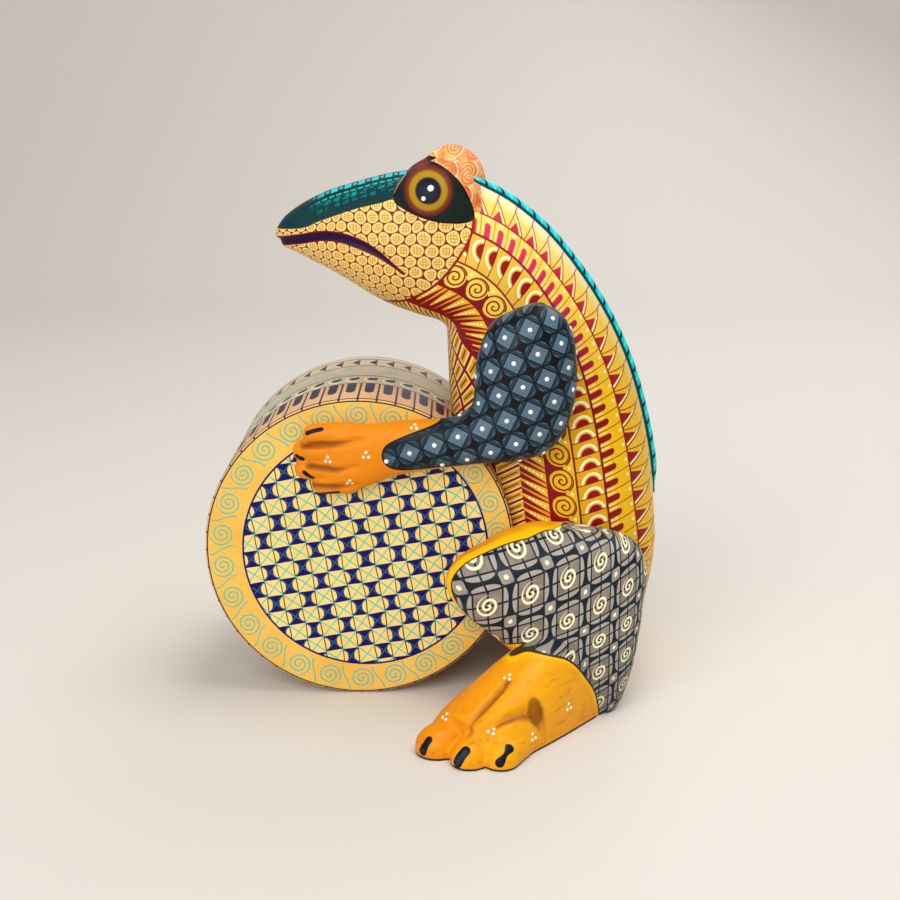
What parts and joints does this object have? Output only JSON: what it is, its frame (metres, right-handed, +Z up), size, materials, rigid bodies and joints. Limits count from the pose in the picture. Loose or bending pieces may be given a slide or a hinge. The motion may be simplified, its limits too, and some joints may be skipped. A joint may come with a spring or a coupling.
{
  "type": "carved frog figure",
  "caption": "Carved and painted wooden frog figure that squats upright and holds a drum across its belly between its hands.",
  "frame": {"origin": "centre of the figure's bounding box on the surface it stands on", "axes": "the frog faces -Y, its left side is +X, +Z is up"},
  "size_m": [0.2238, 0.1863, 0.2181],
  "materials": {
    "painted_body": "satin varnish over paint",
    "painted_arm": "satin varnish over paint",
    "painted_leg": "satin varnish over paint",
    "painted_drum": "satin varnish over paint",
    "bare_wood": "unpainted"
  },
  "bodies": {
    "root": {"body": "painted_body", "drum": "painted_drum", "left_arm": "painted_arm", "right_arm": "painted_arm", "left_leg": "painted_leg", "right_leg": "painted_leg", "left_shoulder_peg": "bare_wood", "right_shoulder_peg": "bare_wood", "left_hip_peg_front": "bare_wood", "left_hip_peg_rear": "bare_wood", "right_hip_peg_front": "bare_wood", "right_hip_peg_rear": "bare_wood", "drum_peg_upper": "bare_wood", "drum_peg_lower": "bare_wood"}
  },
  "joints": []
}
